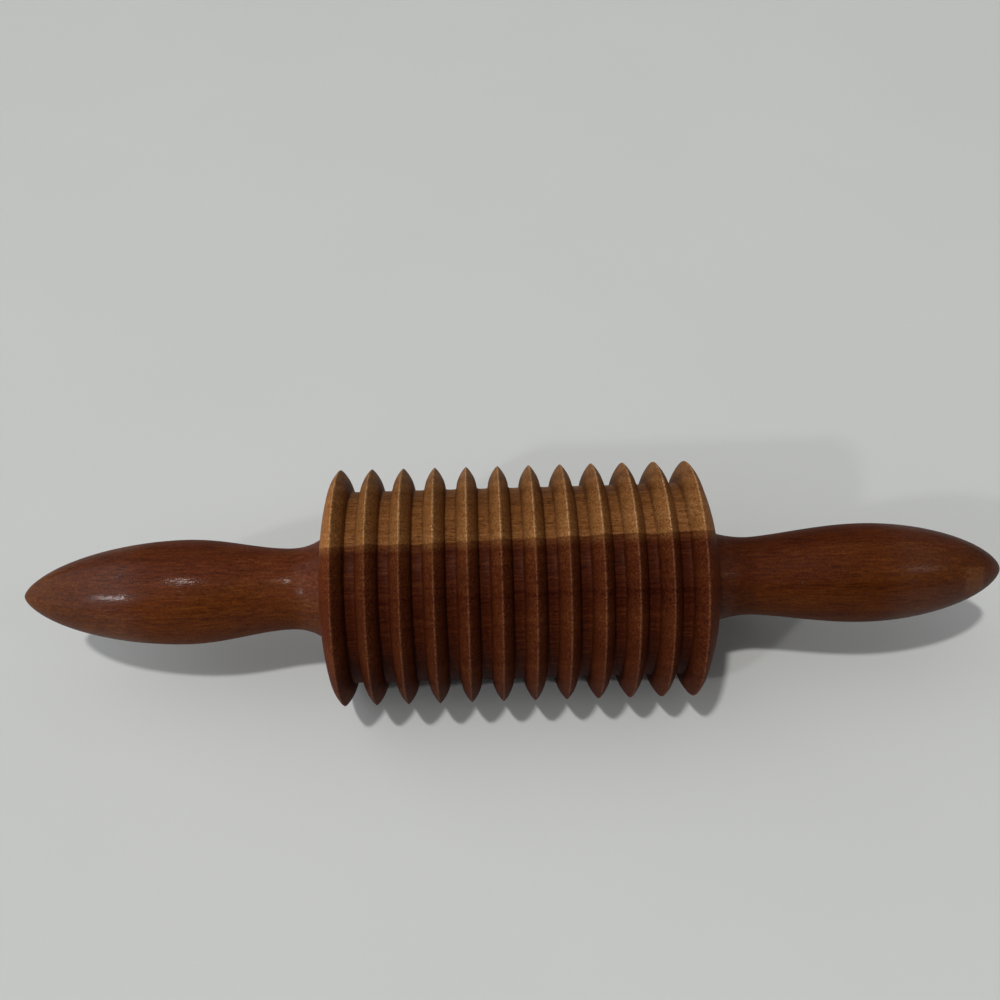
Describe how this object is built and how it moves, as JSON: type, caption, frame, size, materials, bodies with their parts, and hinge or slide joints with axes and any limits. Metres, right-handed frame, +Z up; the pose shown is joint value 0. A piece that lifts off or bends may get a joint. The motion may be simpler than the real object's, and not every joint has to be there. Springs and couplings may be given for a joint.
{
  "type": "ridged rolling pin",
  "caption": "Wooden rolling pin whose roller has sharp ridges and flat grooves for cutting or marking dough, spinning on a rod between two turned handles.",
  "frame": {"origin": "under the middle of the roller, on the surface that the ridge tips stand on", "axes": "+X along the rod towards the slimmer handle, +Z up, the side that the picture shows facing -Y"},
  "size_m": [0.3156, 0.0758, 0.0757],
  "materials": {
    "roller_wood": "waxed red-brown heartwood with a tan band of sapwood along one side",
    "handle_wood": "satin varnish over red-brown heartwood",
    "rod_steel": "bright drawn",
    "washer_steel": "stamped, plain",
    "bush_nylon": "natural nylon",
    "insert_brass": "machined"
  },
  "bodies": {
    "handles": {"axle_rod": "rod_steel", "left_handle": "handle_wood", "right_handle": "handle_wood", "left_threaded_insert": "insert_brass", "right_threaded_insert": "insert_brass", "left_thrust_washer": "washer_steel", "right_thrust_washer": "washer_steel"},
    "roller": {"roller": "roller_wood", "left_bush": "bush_nylon", "right_bush": "bush_nylon"}
  },
  "joints": [
    {"name": "roller_spin", "type": "hinge", "parent": "handles", "child": "roller", "pos_m": [0, 0, 0.03785], "axis": [1, 0, 0], "continuous": true}
  ]
}
